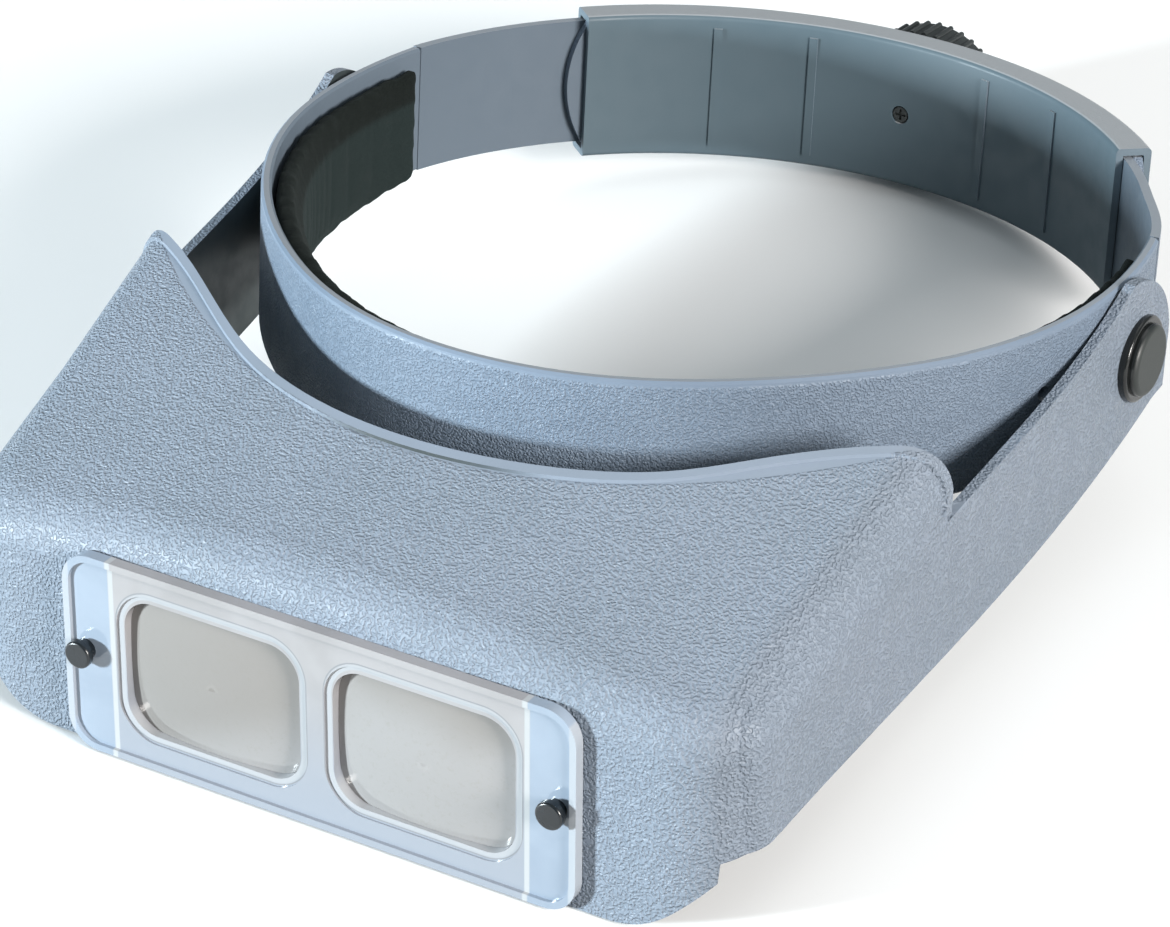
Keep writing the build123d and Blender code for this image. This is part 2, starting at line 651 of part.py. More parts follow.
def make_lens_frame():
    """Clear lens plate: two ears, a raised rim and a deep core with two windows."""
    with BuildPart() as lens_frame:
        with BuildSketch(LENS_PLANE.offset(PLATE_BACK)):
            RectangleRounded(PLATE_WIDTH, PLATE_HEIGHT, PLATE_CORNER_R)
        extrude(amount=-PLATE_BACK)
        with BuildSketch(LENS_PLANE):
            inner_r = PLATE_CORNER_R - RIM_WIDTH
            RectangleRounded(PLATE_WIDTH - 2 * RIM_WIDTH, PLATE_HEIGHT - 2 * RIM_WIDTH, inner_r)
        extrude(amount=PLATE_FACE, mode=Mode.SUBTRACT)
        with BuildSketch(LENS_PLANE.offset(CORE_BACK)):
            RectangleRounded(CORE_WIDTH, CORE_HEIGHT, CORE_CORNER_R - CORE_FIT)
        extrude(amount=PLATE_BACK - CORE_BACK)
        with BuildSketch(LENS_PLANE):
            with Locations((WINDOW_X, 0), (-WINDOW_X, 0)):
                RectangleRounded(WINDOW_WIDTH, WINDOW_HEIGHT, WINDOW_CORNER_R)
            with Locations((STUD_X, STUD_Y), (-STUD_X, STUD_Y)):
                Circle(STUD_R + STUD_FIT)
        extrude(amount=CORE_BACK, mode=Mode.SUBTRACT)
        with BuildSketch(LENS_PLANE):
            with Locations((WINDOW_X, 0), (-WINDOW_X, 0)):
                step_size = (WINDOW_WIDTH + 2 * WINDOW_STEP, WINDOW_HEIGHT + 2 * WINDOW_STEP)
                RectangleRounded(*step_size, WINDOW_CORNER_R + WINDOW_STEP)
        extrude(amount=PLATE_FACE - WINDOW_STEP_DEPTH, mode=Mode.SUBTRACT)
    keep("lens_frame", lens_frame.part)


def make_lens():
    """Domed magnifying lens that fills a window of the lens frame."""
    with BuildPart() as lens:
        with BuildSketch(LENS_PLANE.offset(LENS_BACK)):
            with Locations((WINDOW_X, 0)):
                size = (WINDOW_WIDTH - 2 * LENS_FIT, WINDOW_HEIGHT - 2 * LENS_FIT)
                RectangleRounded(*size, WINDOW_CORNER_R - LENS_FIT)
        extrude(amount=LENS_THICK)
        with Locations(LENS_PLANE.offset(LENS_BACK + LENS_THICK - LENS_DOME_R) * Pos(WINDOW_X, 0, 0)):
            Sphere(LENS_DOME_R, mode=Mode.INTERSECT)
    keep_pair("lens", lens.part)


def make_stud():
    """Push stud that holds an ear of the lens plate to the hood."""
    with BuildPart() as stud:
        with BuildSketch(LENS_PLANE.offset(PLATE_FACE + STUD_NECK)):
            with Locations((STUD_X, STUD_Y)):
                Circle(STUD_HEAD_R)
        extrude(amount=STUD_HEAD)
        fillet(stud.faces().sort_by(Axis.Y)[0].edges(), radius=STUD_EDGE_R)
        with BuildSketch(LENS_PLANE.offset(PLATE_FACE)):
            with Locations((STUD_X, STUD_Y)):
                Circle(STUD_NECK_R)
        extrude(amount=STUD_NECK)
        with BuildSketch(LENS_PLANE.offset(PLATE_FACE)):
            with Locations((STUD_X, STUD_Y)):
                Circle(STUD_R)
        extrude(amount=STUD_TIP - PLATE_FACE)
        chamfer(stud.faces().sort_by(Axis.Y)[-1].edges(), length=STUD_R / 2)
    keep_pair("lens_stud", stud.part)


def make_pivot():
    """Capped pivot pin, washer and push nut that hinge each arm on the headband."""
    with BuildPart() as pivot_cap:
        with BuildSketch(PIVOT_PLANE.offset(CAP_SEAT_X)):
            Circle(CAP_FLANGE_R)
        extrude(amount=CAP_FLANGE)
        fillet(pivot_cap.faces().sort_by(Axis.X)[-1].edges(), radius=CAP_EDGE_R)
        with BuildSketch(PIVOT_PLANE.offset(CAP_SEAT_X + CAP_FLANGE)):
            Circle(CAP_DOME_R)
        extrude(amount=CAP_DOME)
        fillet(pivot_cap.faces().sort_by(Axis.X)[-1].edges(), radius=2 * CAP_EDGE_R)
        with BuildSketch(PIVOT_PLANE.offset(CAP_SEAT_X)):
            Circle(SHANK_R)
        extrude(amount=NUT_OUT_X - NUT - CAP_SEAT_X)
    with BuildPart() as pivot_washer:
        with BuildSketch(PIVOT_PLANE.offset(WASHER_IN_X)):
            Circle(WASHER_R)
            Circle(SHANK_R, mode=Mode.SUBTRACT)
        extrude(amount=WASHER)
    with BuildPart() as pivot_nut:
        with BuildSketch(PIVOT_PLANE.offset(NUT_OUT_X)):
            Circle(NUT_R)
            Circle(SHANK_R, mode=Mode.SUBTRACT)
        extrude(amount=-NUT)
    keep_pair("pivot_cap", pivot_cap.part)
    keep_pair("pivot_washer", pivot_washer.part)
    keep_pair("pivot_nut", pivot_nut.part)


def on_table():
    """Placement that sets the assembly down: knob and hood edge at z = 0, middle at x = y = 0."""
    front_y = PLATE_Y - HOOD_FACE / cos(LEAN) - (HOOD_BOTTOM - PLATE_Z) * sin(LEAN) / cos(LEAN) + WALL
    rear_z = DRIVE_Z - KNOB_R - KNOB_RIB_R
    rear_y = KNOB_BACK_Y - KNOB_EDGE_R
    tilt = degrees(atan2(rear_z - HOOD_BOTTOM, rear_y - front_y))
    tipped = Rot(-tilt, 0, 0)
    box = Compound([tipped * part for part in pieces.values()]).bounding_box()
    return Pos(-(box.min.X + box.max.X) / 2, -(box.min.Y + box.max.Y) / 2, -box.min.Z) * tipped


def make_all():
    """Make every piece of the assembly, in the wearer's frame."""
    make_visor_shell()
    make_lens_frame()
    make_lens()
    make_stud()
    make_pivot()
    make_band_front()
    make_pad()
    make_hook_strips()
    make_sleeve()
    make_strap("strap_left", INNER_LAYER_R, True, False)
    make_strap("strap_right", OUTER_LAYER_R, False, True)
    make_pinion()
    make_knob()
    make_knob_screw()
    make_spring_washer()


make_all()
TABLE = on_table()
os.makedirs("parts", exist_ok=True)
for name, part in pieces.items():
    placed = TABLE * part
    placed.label = name
    export_step(placed, f"parts/{name}.step")
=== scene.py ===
"""Looks of the head visor magnifier: grained mouldings, clear lens plate, velour brow pad."""
import json
import math

import bpy
from mathutils import Matrix, Vector, noise
from mathutils.bvhtree import BVHTree


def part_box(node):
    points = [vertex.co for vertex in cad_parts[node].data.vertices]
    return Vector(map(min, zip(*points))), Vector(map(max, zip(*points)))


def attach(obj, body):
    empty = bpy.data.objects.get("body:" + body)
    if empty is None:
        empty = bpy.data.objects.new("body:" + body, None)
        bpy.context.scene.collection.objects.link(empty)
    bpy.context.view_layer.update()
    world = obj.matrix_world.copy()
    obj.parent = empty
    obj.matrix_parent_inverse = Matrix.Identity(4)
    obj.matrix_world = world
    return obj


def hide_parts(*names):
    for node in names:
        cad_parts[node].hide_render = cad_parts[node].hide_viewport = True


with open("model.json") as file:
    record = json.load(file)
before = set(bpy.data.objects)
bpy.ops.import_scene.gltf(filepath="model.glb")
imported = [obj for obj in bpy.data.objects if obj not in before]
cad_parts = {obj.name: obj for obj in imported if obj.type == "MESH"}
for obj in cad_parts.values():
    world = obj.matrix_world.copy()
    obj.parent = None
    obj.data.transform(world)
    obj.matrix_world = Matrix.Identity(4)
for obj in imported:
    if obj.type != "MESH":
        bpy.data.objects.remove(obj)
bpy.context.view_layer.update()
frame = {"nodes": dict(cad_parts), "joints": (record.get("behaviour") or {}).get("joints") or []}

MM = 0.001
NODES = frame["nodes"]
JOINTS = {joint["name"]: joint for joint in frame["joints"]}
ASIDE = (1, 0, 0)
UP = (0, 0, 1)

# The headband's own frame, which lies tipped down at the rear. Its origin is worked back from the
# visor's pivot
BAND_UP = Vector(JOINTS["strap_left_wrap"]["axis"])
BAND_BACK = -Vector(JOINTS["sleeve_slide"]["axis"])
PIVOT = Vector(JOINTS["visor_tilt"]["pos_m"])
PIVOT_BACK = 49.7 * MM
PIVOT_RISE = -14.5 * MM
BAND_ORIGIN = PIVOT - BAND_BACK * PIVOT_BACK - BAND_UP * PIVOT_RISE

# Lens plate: its directions and middle, then its windows, ears and rim as distances from the middle
PLATE_OUT = Vector(JOINTS["lens_plate_pull"]["axis"])
PLATE_UP = Vector(ASIDE).cross(PLATE_OUT)
PLATE_LOW, PLATE_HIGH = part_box("lens_frame")
PLATE_MIDDLE = (PLATE_LOW + PLATE_HIGH) / 2
WINDOW_ASIDE = 22.8 * MM
WINDOW_HALF_WIDTH = 19.2 * MM
WINDOW_HALF_HEIGHT = 14.3 * MM
WINDOW_CORNER = 6.5 * MM
EAR_START = 44.9 * MM
EAR_BLEND = 0.4 * MM
EAR_LINE_START = EAR_START - 1.0 * MM
EAR_LINE_BLEND = 0.3 * MM
RIM_START = 53.3 * MM
RIM_BLEND = 0.5 * MM

# Painted stripes round each window: a pale painted highlight along its outline and a thin painted shade
# line further out, as distances outside its outline: start, full, fade, end
WINDOW_HIGHLIGHT = (0.1 * MM, 0.35 * MM, 1.2 * MM, 1.9 * MM)
WINDOW_SHADE_LINE = (1.5 * MM, 1.65 * MM, 1.75 * MM, 1.95 * MM)

# Plan of the hood's rear lip: its distance back grows with the square and fourth power of the
# distance aside. The bead along it reaches down to LIP_LOW
LIP_BACK = -62.4 * MM
LIP_SQUARE = 5.06
LIP_FOURTH = 57.6
LIP_BEAD = 1.9 * MM
LIP_BLEND = 0.6 * MM
LIP_BEHIND = -2.0 * MM
LIP_LOW = -19.5 * MM
LIP_END_BLEND = 1.0 * MM

# The headband's upper edge climbs towards the rear; its grain stops this far below the edge
BAND_CLIMB = 0.031
BAND_GRAIN_TOP = -1.6 * MM
BAND_GRAIN_BLEND = 0.8 * MM

# Brow pad, in the headband's frame
PAD_VOXEL = 1.1 * MM
PAD_SMOOTHING = 4
PAD_STANDOFF = 3.0 * MM
PAD_CAP = 0.9 * MM
PAD_PRESSURE = 4.0
PAD_FRAMES = 20
PAD_TOP = -2.6 * MM
PAD_BOTTOM = -30.0 * MM
PAD_RISE_BACK = 10.0 * MM
PAD_END_BACK = 64.2 * MM
PAD_END_TOP = -1.0 * MM
PAD_END_BOTTOM = -25.7 * MM
PAD_BORDER = 5.0 * MM
PAD_PRESSED = 0.5
PAD_FRAY = 0.25 * MM
PAD_FRAY_PART = 0.25
PAD_FRAY_COARSE = 400.0
PAD_FRAY_FINE = 1500.0
PAD_FRAY_FINE_SHARE = 0.6

# Studio
FLOOR_SIZE = 12.0
LIGHT_AIM = Vector((0, 0, 30.0 * MM))
LIGHT_DISTANCE = 2.2
WORLD_BELOW = (0.06, 0.075, 0.075, 1)
WORLD_ABOVE = (0.34, 0.38, 0.40, 1)
WORLD_FULL_AT = 0.4

# Camera of the reference view: place and aim in metres, roll in degrees, lens in millimetres
CAMERA_PLACE = (0.3935, -0.6276, 0.5501)
CAMERA_AIM = (-0.01369, -0.02196, 0.02042)
CAMERA_ROLL = -5.02
CAMERA_LENS = 141.5
CAMERA_SHIFT = (0.0414, -0.0411)
CAMERA_NEAR = 0.01

# Which material each CAD node gets. The brow pad is shown by its own piece
NODE_LOOKS = {
    "visor": ["visor_shell"],
    "band": ["band_front", "strap_left", "strap_right"],
    "sleeve": ["rear_sleeve"],
    "plate": ["lens_frame"],
    "lens": ["lens_left", "lens_right"],
    "stud": ["lens_stud_left", "lens_stud_right"],
    "cap": ["pivot_cap_left", "pivot_cap_right"],
    "white": ["pivot_washer_left", "pivot_washer_right", "pinion"],
    "steel": ["pivot_nut_left", "pivot_nut_right", "spring_washer"],
    "black_steel": ["knob_screw"],
    "knob": ["adjusting_knob"],
    "hook": ["hook_strip_front", "hook_strip_left", "hook_strip_right"],
}


def band_place(back, up):
    """A place in the headband's middle plane."""
    return BAND_ORIGIN + BAND_BACK * back + BAND_UP * up


HOOD_CENTRE = band_place(-66.0 * MM, -75.0 * MM)
BAND_CENTRE = band_place(45.0 * MM, -13.0 * MM)


def link(tree, source, target):
    """Joins an output socket to an input socket."""
    tree.links.new(source, target)


class Shader:
    """Builds one node material around its principled shader."""

    def __init__(self, name, color, roughness, **settings):
        """Further settings are the principled shader's inputs, with _ for each space."""
        self.material = bpy.data.materials.new(name)
        self.material.use_nodes = True
        self.tree = self.material.node_tree
        self.bsdf = self.tree.nodes["Principled BSDF"]
        self.bsdf.inputs["Base Color"].default_value = (*color, 1)
        self.bsdf.inputs["Roughness"].default_value = roughness
        for socket, value in settings.items():
            self.bsdf.inputs[socket.replace("_", " ")].default_value = value
        self.coordinates = self.tree.nodes.new("ShaderNodeTexCoord")
        self.relief = None

    def node(self, kind, **settings):
        """Adds a node and sets its options."""
        made = self.tree.nodes.new(kind)
        for key, value in settings.items():
            setattr(made, key, value)
        return made

    def set_input(self, target, value):
        """Sets an input from a socket, a vector or a number."""
        if isinstance(value, bpy.types.NodeSocket):
            link(self.tree, value, target)
        else:
            target.default_value = value

    def math(self, operation, first, second=0.0, third=0.0, clamp=False):
        """Arithmetic on sockets or numbers."""
        made = self.node("ShaderNodeMath", operation=operation, use_clamp=clamp)
        for target, value in zip(made.inputs, (first, second, third)):
            self.set_input(target, value)
        return made.outputs[0]

    def vector_math(self, operation, first, second=(0, 0, 0)):
        """Arithmetic on vectors; returns the node."""
        made = self.node("ShaderNodeVectorMath", operation=operation)
        self.set_input(made.inputs[0], first)
        self.set_input(made.inputs[1], second)
        return made

    def dot(self, first, second):
        """Dot product of two vectors."""
        return self.vector_math("DOT_PRODUCT", first, second).outputs["Value"]

    def place(self):
        """The shaded place in the shared frame."""
        return self.coordinates.outputs["Object"]

    def normal(self):
        """The surface's direction in the shared frame."""
        return self.coordinates.outputs["Normal"]

    def from_point(self, point):
        """Vector from a point to the shaded place."""
        return self.vector_math("SUBTRACT", self.place(), tuple(point)).outputs[0]

    def along(self, direction, origin=(0, 0, 0)):
        """Distance along a direction from an origin, in metres."""
        return self.dot(self.from_point(origin), tuple(direction))

    def stretched(self, scale):
        """The shaded place, scaled apart in each direction."""
        made = self.node("ShaderNodeMapping")
        link(self.tree, self.place(), made.inputs["Vector"])
        made.inputs["Scale"].default_value = scale
        return made.outputs[0]

    def noise(self, scale, detail, distortion=0.0, roughness=0.5, vector=None):
        """Cloudy pattern between 0 and 1."""
        made = self.node("ShaderNodeTexNoise")
        link(self.tree, vector or self.place(), made.inputs["Vector"])
        made.inputs["Scale"].default_value = scale
        made.inputs["Detail"].default_value = detail
        made.inputs["Distortion"].default_value = distortion
        made.inputs["Roughness"].default_value = roughness
        return made.outputs["Fac"]

    def cells(self, scale):
        """Distance from the middle of the nearest cell."""
        made = self.node("ShaderNodeTexVoronoi")
        link(self.tree, self.place(), made.inputs["Vector"])
        made.inputs["Scale"].default_value = scale
        return made.outputs["Distance"]

    def range(self, value, low, high, to_low=0.0, to_high=1.0):
        """Smooth step from one value to another between two limits."""
        made = self.node("ShaderNodeMapRange", interpolation_type="SMOOTHSTEP")
        for target, given in zip(made.inputs, (value, low, high, to_low, to_high)):
            self.set_input(target, given)
        return made.outputs[0]

    def fall(self, value, low, high):
        """1 below the low limit and 0 above the high one."""
        return self.range(value, low, high, 1.0, 0.0)

    def stripe(self, value, start, full, fade, end):
        """Rises to 1 between the first two limits and falls to 0 between the last two."""
        return self.math("MULTIPLY", self.range(value, start, full), self.fall(value, fade, end))

    def mix(self, factor, first, second):
        """Mixes two colours."""
        made = self.node("ShaderNodeMix", data_type="RGBA")
        self.set_input(made.inputs["Factor"], factor)
        for target, value in ((made.inputs[6], first), (made.inputs[7], second)):
            self.set_input(target, value if isinstance(value, bpy.types.NodeSocket) else (*value, 1))
        return made.outputs[2]

    def color(self, value):
        """Links the base colour."""
        link(self.tree, value, self.bsdf.inputs["Base Color"])

    def roughness(self, value):
        """Links the roughness."""
        link(self.tree, value, self.bsdf.inputs["Roughness"])

    def bump(self, height, distance, strength=1.0):
        """Adds a relief on top of those already there."""
        made = self.node("ShaderNodeBump")
        made.inputs["Distance"].default_value = distance
        made.inputs["Strength"].default_value = strength
        link(self.tree, height, made.inputs["Height"])
        if self.relief:
            link(self.tree, self.relief, made.inputs["Normal"])
        self.relief = made.outputs[0]
        link(self.tree, self.relief, self.bsdf.inputs["Normal"])


def beyond(shader, distance, half, corner):
    """How far a distance from a window's middle passes the start of its rounded corner."""
    return shader.math("MAXIMUM", shader.math("SUBTRACT", distance, half - corner), 0.0)


def window_distance(shader):
    """How far a place lies outside the nearer lens window, seen along the plate's normal."""
    aside = shader.math("ABSOLUTE", shader.along(ASIDE))
    aside = shader.math("ABSOLUTE", shader.math("SUBTRACT", aside, WINDOW_ASIDE))
    aside = beyond(shader, aside, WINDOW_HALF_WIDTH, WINDOW_CORNER)
    rise = shader.math("ABSOLUTE", shader.along(PLATE_UP, PLATE_MIDDLE))
    rise = beyond(shader, rise, WINDOW_HALF_HEIGHT, WINDOW_CORNER)
    square = shader.math("MULTIPLY_ADD", rise, rise, shader.math("MULTIPLY", aside, aside))
    return shader.math("SUBTRACT", shader.math("SQRT", square), WINDOW_CORNER)


def inside_mask(shader, centre):
    """1 on faces that look towards a centre point, 0 on the outer faces."""
    facing = shader.dot(shader.from_point(centre), shader.normal())
    return shader.fall(facing, -2.0 * MM, 2.0 * MM)


def lip_distance(shader):
    """How far a place lies in front of the hood's rear lip."""
    back = shader.along(BAND_BACK, BAND_ORIGIN)
    square = shader.math("POWER", shader.math("ABSOLUTE", shader.along(ASIDE)), 2.0)
    curve = shader.math("MULTIPLY_ADD", square, LIP_SQUARE, LIP_BACK)
    curve = shader.math("MULTIPLY_ADD", shader.math("POWER", square, 2.0), LIP_FOURTH, curve)
    return shader.math("SUBTRACT", curve, back)


def visor_grain(shader):
    """Grain mask of the visor: none on the bead along the lip."""
    distance = lip_distance(shader)
    up = shader.along(BAND_UP, BAND_ORIGIN)
    in_front = shader.range(distance, LIP_BEAD, LIP_BEAD + LIP_BLEND)
    behind = shader.fall(distance, LIP_BEHIND - LIP_END_BLEND, LIP_BEHIND)
    below = shader.fall(up, LIP_LOW - LIP_END_BLEND, LIP_LOW)
    return shader.math("MAXIMUM", shader.math("MAXIMUM", in_front, behind), below)


def band_grain(shader):
    """Grain mask of the headband: none along its upper edge."""
    up = shader.along(BAND_UP, BAND_ORIGIN)
    back = shader.along(BAND_BACK, BAND_ORIGIN)
    climb = shader.math("MULTIPLY", shader.math("MAXIMUM", back, 0.0), BAND_CLIMB)
    top = shader.math("SUBTRACT", up, climb)
    return shader.fall(top, BAND_GRAIN_TOP, BAND_GRAIN_TOP + BAND_GRAIN_BLEND)


def pebbled(shader, grain, depth, mask):
    """Adds a moulded grain of rounded pebbles where the mask is 1, and returns its height."""
    valley_level = 0.30
    pebble_level = 0.66
    pattern = shader.noise(grain, detail=0.0, distortion=0.3, roughness=0.3)
    height = shader.math("MULTIPLY", shader.range(pattern, valley_level, pebble_level), mask)
    shader.bump(height, depth)
    return height


def moulded(name, light, dark, inner_shade_color, roughness, grain, depth, centre, grain_mask=None, rim_highlight_share=0.0):
    """Grained moulding with painted shade in its grain's valleys. Its inner faces are smooth and painted
    darker as shade, and its upper rims can get a paler painted highlight.
    """
    # Painted shade: the grain's valleys are darkened towards this colour
    valley_shade_color = tuple(0.6 * part for part in dark)
    valley_shade_share = 0.35
    # Painted highlight: faces that look up are tinted towards this pale colour
    rim_highlight_color = (0.40, 0.42, 0.44)
    shader = Shader(name, light, roughness, Specular_IOR_Level=0.42)
    inner_faces = inside_mask(shader, centre)
    mask = shader.math("SUBTRACT", 1.0, inner_faces)
    if grain_mask:
        mask = shader.math("MULTIPLY", mask, grain_mask(shader))
    height = pebbled(shader, grain, depth, mask)
    cloud = shader.noise(35.0, detail=3.0)
    shade = shader.mix(shader.range(cloud, 0.35, 0.7), light, dark)
    valley_shade = shader.math("SUBTRACT", mask, shader.range(height, 0.05, 0.6), clamp=True)
    shade = shader.mix(shader.math("MULTIPLY", valley_shade, valley_shade_share), shade, valley_shade_color)
    # Painted highlight on faces that look up, as strong as the given share
    rim_highlight = shader.dot(shader.normal(), tuple(BAND_UP))
    rim_highlight = shader.math("MULTIPLY", shader.range(rim_highlight, 0.8, 0.95), rim_highlight_share)
    # Painted shade: the inner faces get their own darker colour
    shade = shader.mix(inner_faces, shade, inner_shade_color)
    shader.color(shader.mix(rim_highlight, shade, rim_highlight_color))
    wear = shader.noise(220.0, detail=4.0)
    shader.roughness(shader.range(wear, 0.3, 0.7, roughness - 0.06, roughness + 0.08))
    shader.bump(shader.noise(9000.0, detail=1.0), 0.01 * MM, strength=0.5)
    return shader.material


def visor_plastic():
    """Hood and arms: blue grey with a deep grain, and painted shade that makes the inside faces dark."""
    return moulded("visor_grain", light=(0.225, 0.265, 0.325), dark=(0.21, 0.25, 0.305),
                   inner_shade_color=(0.035, 0.045, 0.047), roughness=0.46, grain=1800.0, depth=0.23 * MM,
                   centre=HOOD_CENTRE, grain_mask=visor_grain)


def band_plastic():
    """Headband: a bluer grey with a finer grain, a painted highlight on its upper edges and painted shade
    on its inner faces.
    """
    return moulded("band_grain", light=(0.18, 0.23, 0.30), dark=(0.16, 0.208, 0.275),
                   inner_shade_color=(0.12, 0.153, 0.19), roughness=0.46, grain=2400.0, depth=0.18 * MM,
                   centre=BAND_CENTRE, grain_mask=band_grain, rim_highlight_share=0.55)


def sleeve_plastic():
    """Rear sleeve: satin, with a painted highlight on its upper edges and painted shade on its inner
    faces.
    """
    return moulded("sleeve_satin", light=(0.20, 0.24, 0.29), dark=(0.17, 0.21, 0.25),
                   inner_shade_color=(0.092, 0.132, 0.158), roughness=0.48, grain=2500.0, depth=0.02 * MM,
                   centre=BAND_CENTRE, rim_highlight_share=0.85)


def plain(name, color, roughness, flow, depth, coat):
    """Smooth moulding with faint flow marks and handling wear."""
    brighter = tuple(min(1.0, 1.5 * part + 0.003) for part in color)
    shader = Shader(name, color, roughness, Coat_Weight=coat, Coat_Roughness=0.2)
    shader.bump(shader.noise(flow, detail=3.0, distortion=0.5), depth)
    wear = shader.noise(140.0, detail=4.0)
    shader.color(shader.mix(shader.range(wear, 0.45, 0.75), color, brighter))
    touch = shader.noise(90.0, detail=3.0)
    shader.roughness(shader.range(touch, 0.3, 0.7, roughness - 0.05, roughness + 0.1))
    return shader.material


def cap_plastic():
    """Pivot cap: glossy flange and a satin dome."""
    flange_color = (0.005, 0.006, 0.006)
    dome_color = (0.014, 0.018, 0.017)
    flange_roughness = 0.2
    dome_roughness = 0.52
    dome_radius = 6.9 * MM
    dome_blend = 0.5 * MM
    shader = Shader("cap_plastic", (0.05, 0.055, 0.05), 0.35, Coat_Weight=0.1, Coat_Roughness=0.2)
    flat = shader.vector_math("MULTIPLY", shader.from_point(PIVOT), (0, 1, 1))
    radius = shader.vector_math("LENGTH", flat.outputs[0]).outputs["Value"]
    dome = shader.fall(radius, dome_radius, dome_radius + dome_blend)
    shader.color(shader.mix(dome, flange_color, dome_color))
    shader.roughness(shader.range(dome, 0.0, 1.0, flange_roughness, dome_roughness))
    shader.bump(shader.noise(1600.0, detail=2.0), 0.02 * MM)
    return shader.material


def steel():
    """Plain spring steel with fine brushing."""
    shader = Shader("spring_steel", (0.55, 0.55, 0.54), 0.3, Metallic=1.0)
    brushed = shader.noise(500.0, detail=4.0, roughness=0.6, vector=shader.stretched((1.0, 12.0, 12.0)))
    shader.roughness(shader.range(brushed, 0.3, 0.7, 0.22, 0.42))
    shader.bump(brushed, 0.01 * MM)
    return shader.material


def hook_tape():
    """Grey speckled hook tape."""
    hook_color = (0.42, 0.41, 0.36)
    ground_color = (0.05, 0.05, 0.045)
    shader = Shader("hook_tape", (0.3, 0.3, 0.28), 0.8)
    dots = shader.cells(1300.0)
    shader.color(shader.mix(shader.range(dots, 0.25, 0.5), hook_color, ground_color))
    shader.bump(dots, 0.4 * MM)
    return shader.material


def velour():
    """Black short-pile velour. The face is lighter than the strip along its upper edge."""
    face_colors = (0.010, 0.0165, 0.0165), (0.022, 0.034, 0.033)
    border_colors = (0.003, 0.0045, 0.004), (0.012, 0.016, 0.014)
    brushed_color = (0.024, 0.03, 0.03)
    strip_depth = 4.0 * MM
    strip_blend = 2.0 * MM
    shader = Shader("velour_black", (0.01, 0.015, 0.015), 0.95, Sheen_Weight=0.05, Sheen_Roughness=0.5,
                    Sheen_Tint=(0.5, 0.62, 0.62, 1), Specular_IOR_Level=0.15)
    up = shader.along(BAND_UP, BAND_ORIGIN)
    face = shader.fall(up, PAD_TOP - strip_depth - strip_blend, PAD_TOP - strip_depth)
    pile = shader.noise(4200.0, detail=3.0, roughness=0.7)
    nap = shader.noise(160.0, detail=4.0, distortion=1.2, roughness=0.6)
    tips = shader.range(pile, 0.35, 0.75)
    shade = shader.mix(face, shader.mix(tips, *border_colors), shader.mix(tips, *face_colors))
    shader.color(shader.mix(shader.range(nap, 0.5, 0.8, 0.0, 0.4), shade, brushed_color))
    shader.bump(nap, 0.3 * MM, strength=0.6)
    shader.bump(pile, 0.2 * MM)
    return shader.material


def clear_plate():
    """Clear lens plate: milky over its deep core, blue over the hood, with a painted highlight along its
    rim and painted highlight and shade lines round its windows.
    """
    low_color = (0.275, 0.30, 0.345)
    core_colors = (0.305, 0.293, 0.295), (0.35, 0.337, 0.343)
    ear_colors = (0.25, 0.30, 0.37), (0.29, 0.345, 0.42)
    ear_line_color = (0.43, 0.44, 0.45)
    # Painted highlight along the plate's outer rim
    rim_highlight_color = (0.37, 0.40, 0.44)
    # Painted highlight along each window's edge, then a thin painted shade line further out
    window_highlight_color = (0.37, 0.38, 0.40)
    window_shade_line_color = (0.23, 0.235, 0.25)
    low_end = 2.0 * MM
    high_start = 36.0 * MM
    shader = Shader("clear_plate", (0.3, 0.31, 0.33), 0.14, Specular_IOR_Level=0.55, Coat_Weight=0.35,
                    Coat_Roughness=0.06)
    aside = shader.math("ABSOLUTE", shader.along(ASIDE))
    ear = shader.range(aside, EAR_START, EAR_START + EAR_BLEND)
    ear_line = shader.range(aside, EAR_LINE_START, EAR_LINE_START + EAR_LINE_BLEND)
    ear_line = shader.math("SUBTRACT", ear_line, ear)
    rim_highlight = shader.range(aside, RIM_START, RIM_START + RIM_BLEND)
    cloud = shader.range(shader.noise(60.0, detail=3.0, distortion=0.6), 0.3, 0.7)
    height = shader.range(shader.along(UP), low_end, high_start)
    shade = shader.mix(height, low_color, shader.mix(cloud, *core_colors))
    shade = shader.mix(ear, shade, shader.mix(cloud, *ear_colors))
    shade = shader.mix(ear_line, shade, ear_line_color)
    shade = shader.mix(rim_highlight, shade, rim_highlight_color)
    window = window_distance(shader)
    window_highlight = shader.stripe(window, *WINDOW_HIGHLIGHT)
    window_shade_line = shader.stripe(window, *WINDOW_SHADE_LINE)
    shade = shader.mix(window_highlight, shade, window_highlight_color)
    shader.color(shader.mix(window_shade_line, shade, window_shade_line_color))
    shader.bump(shader.noise(140.0, detail=2.0), 0.04 * MM)
    return shader.material


def lens_glass():
    """Polished lens over a pale warm grey, with painted light that makes it brighter towards its lower
    edge.
    """
    dull_color = (0.225, 0.21, 0.197)
    bright_color = (0.295, 0.285, 0.282)
    dust_color = (0.20, 0.18, 0.155)
    slant_start = 20.0 * MM
    slant_gain = 22.0
    shader = Shader("lens_glass", (0.24, 0.235, 0.225), 0.05, Specular_IOR_Level=0.6, Coat_Weight=0.4,
                    Coat_Roughness=0.03)
    # Painted light: clouds and a slant that brighten the lens towards its lower edge
    glow = shader.noise(26.0, detail=1.0, distortion=0.5)
    slant = shader.along((0.35, 0, -1), (0, 0, slant_start))
    bright = shader.math("MULTIPLY_ADD", slant, slant_gain, glow)
    shade = shader.mix(shader.range(bright, 0.35, 0.75), dull_color, bright_color)
    dust = shader.noise(900.0, detail=5.0, roughness=0.75)
    shader.color(shader.mix(shader.range(dust, 0.5, 0.75, 0.0, 0.25), shade, dust_color))
    return shader.material


